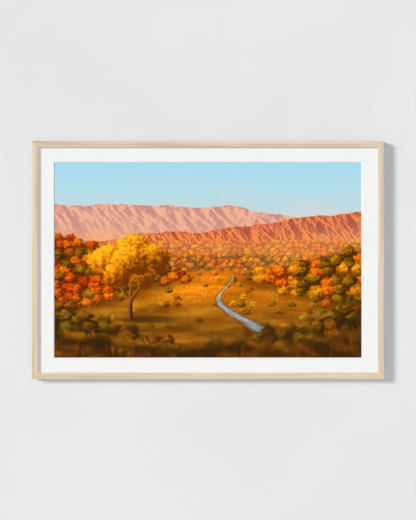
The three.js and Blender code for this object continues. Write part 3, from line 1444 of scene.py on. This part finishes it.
def dress(node: str, material: Material) -> None:
    """Gives a CAD node, whose shape is right, a better material.

    Args:
        node: The node's name.
        material: Its finish.
    """
    piece = frame["nodes"][node]
    if not piece.material_slots:
        piece.data.materials.append(material)
    for material_slot in piece.material_slots:
        material_slot.material = material
    log.info("%s: dressed with %s", node, material.name)


def middle_of(node: str) -> Vector:
    """Gives the middle of a CAD node's box."""
    low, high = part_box(node)
    return (low + high) / 2


# The frame's parts


class Side(Enum):
    """The frame's sides, each by its quarter turns from the bottom."""

    BOTTOM = 0
    LEFT = 1
    TOP = 2
    RIGHT = 3

    @property
    def word(self) -> str:
        """The side's name in a node's name."""
        return self.name.lower()

    @property
    def turn(self) -> float:
        """The side's turn about the picture's middle, in radians."""
        return self.value * math.pi / 2

    @property
    def way(self) -> Grain:
        """Which way this side's grain runs."""
        return Grain.UPRIGHT if self.value % 2 else Grain.LEVEL

    @property
    def tabs(self) -> list[str]:
        """The CAD tabs that are driven into this side."""
        return sorted(node for node in frame["nodes"] if node.startswith(f"tab_{self.word}_"))


@dataclass
class RailFrame:
    """Four mitred rails with a rebate behind the lip, and slots for their fasteners."""

    face: float = 17 * MM
    depth: float = 22 * MM
    lip: float = 3.5 * MM  # the wood in front of the rebate
    beside_rebate: float = 12.2 * MM
    ease: float = 1.0 * MM  # how far the front edges are rounded
    ease_steps: int = 5
    arris: float = 0.4 * MM  # how far the outer back edge is
    arris_steps: int = 3
    mitre_gap: float = 0.1 * MM
    slot_play: float = 0.3 * MM
    nail_leg: float = 5.0 * MM
    nail_thickness: float = 0.5 * MM
    nail_deep: float = 10.0 * MM
    past: float = 1.0 * MM  # how far a cutter runs past the face that it opens

    def __post_init__(self) -> None:
        """Reads the frame's outer size and middle from the CAD rails."""
        left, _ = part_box("rail_left")
        _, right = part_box("rail_right")
        bottom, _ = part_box("rail_bottom")
        _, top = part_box("rail_top")
        self.width = right.x - left.x
        self.height = top.z - bottom.z
        self.middle = Vector((0, 0, (top.z + bottom.z) / 2))

    def build(self, woods: dict[Grain, Material], steel: Material) -> None:
        """Mills a long and a short rail, copies each to its two sides, and dresses the nails.

        Args:
            woods: The wood for each way of the grain.
            steel: The nails' metal.
        """
        masters = {side.way: self._mill(side) for side in (Side.BOTTOM, Side.LEFT)}
        for side in Side:
            rail = copy_of(masters[side.way], f"mitred_rail_{side.word}")
            put(rail, self.middle, side.turn)
            fit(rail, [woods[side.way]], [f"rail_{side.word}"])
            rail.visible_diffuse = False  # or its warm glow would fall on the wall and the mat
            dress(f"corner_nail_{side.value + 1}", steel)
        for master in masters.values():
            bpy.data.objects.remove(master)

    def _mill(self, side: Side) -> Piece:
        """Makes one side's rail as if it were the bottom one, round the picture's middle.

        Args:
            side: The side that gives its length, its grain and its tabs.

        Returns:
            The rail along X, sawn and smoothed.
        """
        level = side.way is Grain.LEVEL
        half = (self.width if level else self.height) / 2
        reach = (self.height if level else self.width) / 2
        low, high = (-half, -self.depth, -reach), (half, 0, self.face - reach)
        rail = block(f"{side.word}_master", low, high)
        with editing(rail):
            pick(rail, Part.EDGE, lambda at, way: abs(way.x) > ALONG and near(at.y, -self.depth))
            round_off(self.ease, self.ease_steps)
            pick(
                rail,
                Part.EDGE,
                lambda at, way: abs(way.x) > ALONG and near(at.y, 0) and near(at.z, -reach),
            )
            round_off(self.arris, self.arris_steps)
        for cutter in self._cutters(side, half, reach):
            carve(rail, cutter)
        with editing(rail):
            for end in (-1, 1):
                mitre = (end * (half - self.mitre_gap * math.sqrt(0.5)), 0, -reach)
                saw(mitre, (end, 0, 1))
            face_out()
        smooth(rail)
        return rail

    def _cutters(self, side: Side, half: float, reach: float) -> Iterator[Piece]:
        """Makes the cutters for a rail's rebate, its tabs' slots and its nails' slots.

        Args:
            side: The side that the rail is milled for.
            half: Half the rail's length.
            reach: From the picture's middle to the rail's outer edge.

        Yields:
            Each cutter.
        """
        inside = self.beside_rebate - reach
        yield block(
            "rebate_cutter",
            (-half - self.past, self.lip - self.depth, inside),
            (half + self.past, self.past, self.face - reach + self.past),
        )
        for tab in side.tabs:
            low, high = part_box(tab)
            if side.way is Grain.LEVEL:
                across = (low.x, high.x)
                deep = low.z - self.middle.z
            else:
                across = (low.z - self.middle.z, high.z - self.middle.z)
                deep = low.x
            yield block(
                "tab_slot_cutter",
                (across[0] - self.slot_play, low.y - self.slot_play, deep - self.slot_play),
                (across[1] + self.slot_play, high.y + self.slot_play, inside + self.past),
            )
        room = self.nail_thickness / 2 + self.slot_play
        apex = half - self.beside_rebate / 2
        level = self.beside_rebate / 2 - reach
        for end in (-1, 1):
            ends = sorted((end * (apex + room), end * (apex - self.nail_leg - self.slot_play)))
            yield block(
                "nail_slot_cutter",
                (ends[0], -self.nail_deep - self.slot_play, level - room),
                (ends[1], self.past, level + room),
            )


@dataclass
class MatBoard:
    """A white board whose window is cut at 45 degrees, so that its core shows."""

    window_width: float = 821 * MM
    window_height: float = 521.6 * MM
    slope: float = math.sqrt(0.5)  # how much the bevel faces the front, at 45 degrees
    past: float = 0.4 * MM  # how far the cutter runs past the board's faces

    def build(self, face: Material, core: Material) -> None:
        """Cuts the window out of the board and gives its slopes the core's finish.

        Args:
            face: The finish of the board's face.
            core: The finish of its core.
        """
        low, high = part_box("mat_board")
        board = block("window_mat", low, high)
        carve(board, self._window_cutter(low, high))
        for material in (face, core):
            board.data.materials.append(material)
        with editing(board):
            pick(board, Part.FACE, lambda at, normal: near(normal.y, -self.slope, 0.1))
            board.active_material_index = 1
            bpy.ops.object.material_slot_assign()
        fit(board, [face, core], ["mat_board"])

    def _window_cutter(self, low: Vector, high: Vector) -> Piece:
        """Makes a cutter that widens towards the front by as much as it is deep.

        Args:
            low: The board's lowest corner.
            high: Its highest corner.

        Returns:
            The cutter.
        """
        middle = (low + high) / 2
        half = Vector((self.window_width / 2, 0, self.window_height / 2))
        reach = Vector((0, self.past, 0))
        shrunk = half - Vector((self.past, 0, self.past))
        cutter = block(
            "window_cutter",
            Vector((middle.x, low.y, middle.z)) - shrunk - reach,
            Vector((middle.x, high.y, middle.z)) + shrunk + reach,
        )
        thick = high.y - low.y + 2 * self.past
        front = low.y - self.past
        with editing(cutter):
            pick(cutter, Part.VERT, lambda at, _: near(at.y, front))
            bpy.ops.transform.resize(
                value=(1 + thick / shrunk.x, 1, 1 + thick / shrunk.z),
                center_override=(middle.x, front, middle.z),
            )
        return cutter


@dataclass
class SheetPack:
    """The flat sheets in the rebate, whose CAD shapes are right as they are."""

    finishes: dict[str, Material]

    def build(self) -> None:
        """Dresses each sheet by its node's name."""
        for node, material in self.finishes.items():
            dress(node, material)


@dataclass
class PanelTabs:
    """Flat steel tabs, driven into the rails, that hold the panel in."""

    width: float = 7 * MM
    thickness: float = 0.6 * MM
    length: float = 20.8 * MM
    point: float = 2.5 * MM
    point_width: float = 0.08  # the share of the width that is left at the tip
    round_share: float = 0.99  # how much of the width the round end takes up
    round_steps: int = 8
    rib_inset: float = 1.9 * MM
    rib_height: float = 0.25 * MM
    soft_edge: float = 0.08 * MM

    def build(self, steel: Material) -> None:
        """Makes one tab and copies it to each place that the CAD gives.

        Args:
            steel: The tabs' metal.
        """
        master = self._make_tab()
        for side in Side:
            for node in side.tabs:
                tab = copy_of(master, f"driven_{node}")
                put(tab, middle_of(node), side.turn)
                fit(tab, [steel], [node])
        bpy.data.objects.remove(master)

    def _make_tab(self) -> Piece:
        """Makes a tab round the origin, its point down, with a stiffening rib behind.

        Returns:
            The tab.
        """
        half = Vector((self.width / 2, self.thickness / 2, self.length / 2))
        shoulder = self.point - half.z
        tab = block("tab_master", -half, half)
        with editing(tab):
            bpy.ops.mesh.select_all(action="SELECT")
            bpy.ops.mesh.bisect(plane_co=(0, 0, shoulder), plane_no=(0, 0, 1))
            pick(tab, Part.VERT, lambda at, _: near(at.z, -half.z))
            tip = (0, 0, -half.z)
            bpy.ops.transform.resize(value=(self.point_width, 1, 1), center_override=tip)
            pick(tab, Part.EDGE, lambda at, way: abs(way.y) > ALONG and near(at.z, half.z))
            round_off(half.x * self.round_share, self.round_steps)
            pick(tab, Part.FACE, lambda at, normal: normal.y > ALONG and at.z > shoulder)
            bpy.ops.mesh.inset(thickness=self.rib_inset)
            bpy.ops.transform.translate(value=(0, self.rib_height, 0))
        soften(tab, self.soft_edge)
        smooth(tab)
        return tab


@dataclass
class WireRing:
    """A wire bent into a D that stands up from its straight bar."""

    wire: float = 2 * MM
    half_width: float = 7.4 * MM  # from the ring's middle to each arm
    corner: float = 2.4 * MM
    arm: float = 6 * MM  # from the bar up to the bow's middle
    wire_sides: int = 16
    bow_steps: int = 28
    corner_steps: int = 8
    smooth_to: float = 60.0  # degrees

    def make(self, name: str) -> Piece:
        """Bends the wire in the plane of X and Z, with its bar along the origin.

        Args:
            name: The piece's name.

        Returns:
            The ring.
        """
        ring = begin(
            name,
            bpy.ops.mesh.primitive_circle_add,
            vertices=self.wire_sides,
            radius=self.wire / 2,
            location=(self.half_width, 0, self.corner),
        )
        settle(ring)
        rise = self.arm - self.corner
        inner = self.half_width - self.corner
        with editing(ring):
            bpy.ops.mesh.select_all(action="SELECT")
            extrude((0, 0, rise))
            self._bend((0, 0, self.arm), math.pi, self.bow_steps)
            extrude((0, 0, -rise))
            self._bend((-inner, 0, self.corner), math.pi / 2, self.corner_steps)
            extrude((2 * inner, 0, 0))
            self._bend((inner, 0, self.corner), math.pi / 2, self.corner_steps)
            bpy.ops.mesh.select_all(action="SELECT")
            bpy.ops.mesh.remove_doubles(threshold=0.01 * MM)
            face_out()
        smooth(ring, self.smooth_to)
        return ring

    def _bend(self, centre: Sequence[float], angle: float, steps: int) -> None:
        """Draws the selected end of the wire round a bend in the plane of the ring."""
        bpy.ops.mesh.spin(steps=steps, angle=angle, center=tuple(centre), axis=(0, 1, 0))


@dataclass
class FoldedStrap:
    """A strip of sheet metal folded round the ring's bar, both ends flat below it."""

    width: float = 9 * MM
    length: float = 26 * MM
    metal: float = 0.8 * MM
    play: float = 0.3 * MM  # between the bar and the fold
    wire: float = WireRing.wire
    fold: float = 250.0  # degrees round the bar
    fold_steps: int = 20
    layers_apart: float = 1.02  # the layers' spacing, to the metal's thickness
    crease: float = 0.9  # how far the free layer drops, to how far it comes in to the other
    end_round: float = 0.98  # how much of the width the round ends take up
    end_steps: int = 8
    sheet: float = 0.98  # the thickness that the strip is given, to the metal's
    soft_edge: float = 0.12 * MM

    @property
    def ahead(self) -> float:
        """How far in front of the bar's middle the strap's wall side lies."""
        return self.wire / 2 + self.play - self.metal

    def make(self, name: str) -> Piece:
        """Folds the strip round the origin, where the ring's bar lies along X.

        Args:
            name: The piece's name.

        Returns:
            The strap.
        """
        radius = self.wire / 2 + self.play + self.metal / 2
        free_layer = -radius + self.metal * self.layers_apart
        strap = begin(
            name,
            bpy.ops.mesh.primitive_plane_add,
            size=1,
            location=(0, -radius, -self.length / 2),
            rotation=(math.pi / 2, 0, 0),
        )
        strap.scale = (self.width, self.length, 1)
        settle(strap)
        turn = math.radians(self.fold)
        end = Vector((0, math.cos(math.pi - turn), math.sin(math.pi - turn))) * radius
        meeting = Vector((0, free_layer, end.z - (end.y - free_layer) * self.crease))
        with editing(strap):
            pick(strap, Part.EDGE, lambda at, way: abs(way.x) > ALONG and near(at.z, 0))
            bpy.ops.mesh.spin(
                steps=self.fold_steps, angle=turn, center=(0, 0, 0), axis=(1, 0, 0)
            )
            extrude(meeting - end)
            extrude((0, 0, -self.length - meeting.z))
            pick(strap, Part.VERT, lambda at, _: near(at.z, -self.length))
            round_off(self.width / 2 * self.end_round, self.end_steps, affect="VERTICES")
        thick = self.metal * self.sheet
        apply_modifier(strap, "SOLIDIFY", thickness=thick, offset=0, use_even_offset=True)
        soften(strap, self.soft_edge)
        smooth(strap)
        return strap


@dataclass
class DomedRivet:
    """A rivet with a rounded head, dished in its middle."""

    head: float = 3.2 * MM
    dome: float = 0.9 * MM
    shank: float = 1.6 * MM
    shank_length: float = 4.6 * MM
    sides: int = 32
    rounding: float = 0.85  # how much of the dome's height is rounded off
    round_steps: int = 6
    dish_inset: float = 0.3  # from the rounding in to the dish, to the head's radius
    dish: float = 0.2 * MM

    def make(self, name: str) -> Piece:
        """Makes the rivet with its head on the origin and its shank in front.

        Args:
            name: The piece's name.

        Returns:
            The rivet.
        """
        rivet = begin(
            name,
            bpy.ops.mesh.primitive_cylinder_add,
            vertices=self.sides,
            radius=self.head,
            depth=self.dome,
            location=(0, self.dome / 2, 0),
            rotation=(-math.pi / 2, 0, 0),
        )
        settle(rivet)
        with editing(rivet):
            pick(rivet, Part.FACE, lambda at, normal: normal.y < -ALONG)
            bpy.ops.mesh.inset(thickness=self.head - self.shank)
            extrude((0, -self.shank_length, 0))
            pick(rivet, Part.FACE, lambda at, normal: normal.y > ALONG)
            round_off(self.dome * self.rounding, self.round_steps)
            pick(rivet, Part.FACE, lambda at, normal: near(at.y, self.dome))
            bpy.ops.mesh.inset(thickness=self.head * self.dish_inset)
            bpy.ops.transform.translate(value=(0, -self.dish, 0))
        smooth(rivet)
        return rivet


class Hand(Enum):
    """The frame's two hangers."""

    LEFT = "left"
    RIGHT = "right"


@dataclass
class RingHanger:
    """A wire ring in a folded strap, which two rivets hold to the panel."""

    hand: Hand
    ring: WireRing = field(default_factory=WireRing)
    strap: FoldedStrap = field(default_factory=FoldedStrap)
    rivet: DomedRivet = field(default_factory=DomedRivet)

    def build(self, nickel: Material) -> None:
        """Makes the ring, the strap and the rivets at the ring's hinge.

        Args:
            nickel: The finish of all of them.
        """
        word = self.hand.value
        joint = next(j for j in frame["joints"] if j["name"] == f"ring_{word}_swing")
        pivot = Vector(joint["pos_m"])
        ring = put(self.ring.make(f"wire_ring_{word}"), pivot)
        fit(ring, [nickel], [f"hanger_ring_{word}"], f"ring_{word}")
        strap = put(self.strap.make(f"folded_strap_{word}"), pivot)
        fit(strap, [nickel], [f"hanger_strap_{word}"])
        for number in (1, 2):
            node = f"hanger_rivet_{word}_{number}"
            at = middle_of(node)
            at.y = pivot.y - self.strap.ahead
            rivet = put(self.rivet.make(f"domed_rivet_{word}_{number}"), at)
            fit(rivet, [nickel], [node])


# The studio


@dataclass
class Lamp:
    """A far, soft light that reaches everything evenly."""

    name: str
    away: tuple[float, float, float]  # from the picture to the lamp
    softness: float  # how wide the lamp looks, in degrees
    strength: float
    mirrored: bool = True

    def hang(self) -> None:
        """Hangs the lamp on the side that its direction gives."""
        light = bpy.data.lights.new(self.name, "SUN")
        light.angle = math.radians(self.softness)
        light.energy = self.strength
        lamp = bpy.data.objects.new(self.name, light)
        bpy.context.scene.collection.objects.link(lamp)
        away = Vector(self.away)
        lamp.location = away
        lamp.rotation_euler = away.to_track_quat("Z", "Y").to_euler()
        lamp.visible_glossy = self.mirrored


@dataclass
class Studio:
    """A pale wall and floor, soft lights and the camera of the photograph."""

    wall_width: float = 3.8
    wall_above: float = 1.3
    wall_behind: float = 0.4 * MM
    floor_below: float = 1.5
    floor_size: float = 60.0
    camera_away: float = 3.0
    image_height: int = 520  # pixels
    metres_per_pixel: float = 2.667 * MM
    sensor: float = 36.0
    room_light: float = 0.3
    backdrop_light: float = 0.7

    def build(self, target: Vector, front: float) -> None:
        """Sets up everything round the picture.

        Args:
            target: The picture's middle.
            front: The depth of the frame's front face.
        """
        self._build_stage(target)
        self._light_room()
        lamps = (
            Lamp("key_lamp", (-3.0, -1.95, 1.1), softness=15, strength=2.62),
            Lamp("front_fill", (0.4, -2.0, 0.1), softness=60, strength=0.45, mirrored=False),
            Lamp("back_lamp", (-1.1, 1.4, 0.9), softness=24, strength=2.2),
        )
        for lamp in lamps:
            lamp.hang()
            log.info("%s: hung", lamp.name)
        self._place_camera(target, front)

    def _build_stage(self, target: Vector) -> None:
        """Builds the wall behind the frame and the floor below it.

        Args:
            target: The picture's middle.
        """
        foot = target.z - self.floor_below
        wall_height = self.wall_above + self.floor_below
        wall = self._plane("studio_wall", self.wall_width, wall_height)
        wall.rotation_euler = (math.pi / 2, 0, 0)
        wall.location = (0, self.wall_behind, foot + wall_height / 2)
        paint = PaintFinish("wall_paint", tone(238, 238, 239), tone(233, 233, 234), True)
        wall.data.materials.append(paint.make())
        floor = self._plane("studio_floor", self.floor_size, self.floor_size)
        floor.location = (0, 0, foot)
        paint = PaintFinish("floor_paint", tone(218, 218, 217), tone(216, 216, 216))
        floor.data.materials.append(paint.make())
        for piece in (wall, floor):
            settle(piece)
            piece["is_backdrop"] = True
            log.info("%s: on the stage", piece.name)

    def _plane(self, name: str, width: float, height: float) -> Piece:
        """Adds a flat plane at the origin.

        Args:
            name: The piece's name.
            width: Its size along X.
            height: Its size along Y.

        Returns:
            The plane.
        """
        piece = begin(name, bpy.ops.mesh.primitive_plane_add, size=1)
        piece.scale = (width, height, 1)
        settle(piece)
        return piece

    def _light_room(self) -> None:
        """Makes the room's soft light, and its brighter backdrop for the camera."""
        world = bpy.data.worlds.new("studio_room")
        bpy.context.scene.world = world
        world.use_nodes = True
        nodes = world.node_tree.nodes
        links = world.node_tree.links
        nodes.clear()
        rays = nodes.new("ShaderNodeLightPath")
        mix = nodes.new("ShaderNodeMixShader")
        links.new(rays.outputs["Is Camera Ray"], mix.inputs[0])
        for index, strength in enumerate((self.room_light, self.backdrop_light)):
            shader = nodes.new("ShaderNodeBackground")
            shader.inputs["Color"].default_value = (1.0, 1.0, 1.0, 1.0)
            shader.inputs["Strength"].default_value = strength
            links.new(shader.outputs[0], mix.inputs[index + 1])
        output = nodes.new("ShaderNodeOutputWorld")
        links.new(mix.outputs[0], output.inputs["Surface"])

    def _place_camera(self, target: Vector, front: float) -> None:
        """Places the camera straight in front, with the photograph's framing.

        Args:
            target: The picture's middle.
            front: The depth of the frame's front face.
        """
        camera = bpy.data.objects.new("photo_camera", bpy.data.cameras.new("photo_camera"))
        bpy.context.scene.collection.objects.link(camera)
        view_height = self.image_height * self.metres_per_pixel
        camera.data.sensor_width = self.sensor
        camera.data.lens = self.sensor * self.camera_away / view_height
        camera.location = (target.x, front - self.camera_away, target.z)
        camera.rotation_euler = (math.pi / 2, 0, 0)
        bpy.context.scene.camera = camera
        bpy.context.scene.view_settings.view_transform = "Standard"
        log.info("%s: %.1f mm lens", camera.name, camera.data.lens)


def main() -> None:
    """Builds the picture from the rails inwards, then the studio round it."""
    logging.basicConfig(level=logging.INFO, format="%(message)s")
    steel = Metal.STEEL.value.make()
    nickel = Metal.NICKEL.value.make()
    woods = {way: WoodFinish(way).make() for way in Grain}
    rails = RailFrame()
    rails.build(woods, steel)
    MatBoard().build(
        BoardFinish("mat_face", tone(252, 252, 251), tone(250, 250, 249)).make(),
        BoardFinish("mat_core", tone(254, 254, 253), tone(251, 251, 249), 2200.0).make(),
    )
    finishes = {
        "glazing": AcrylicFinish(),
        "print_sheet": PrintFinish(),
        "foam_board": BoardFinish("foam_board", tone(242, 240, 234), tone(234, 231, 224)),
        "back_panel": HardboardFinish(),
    }
    SheetPack({node: finish.make() for node, finish in finishes.items()}).build()
    PanelTabs().build(steel)
    for hand in Hand:
        RingHanger(hand).build(nickel)
    Studio().build(rails.middle, -rails.depth)
    bounds = {"cad": cad_box, "visual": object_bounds()}
    corners = {name: [list(corner) for corner in box] for name, box in bounds.items()}


if __name__ == "__main__":
    main()
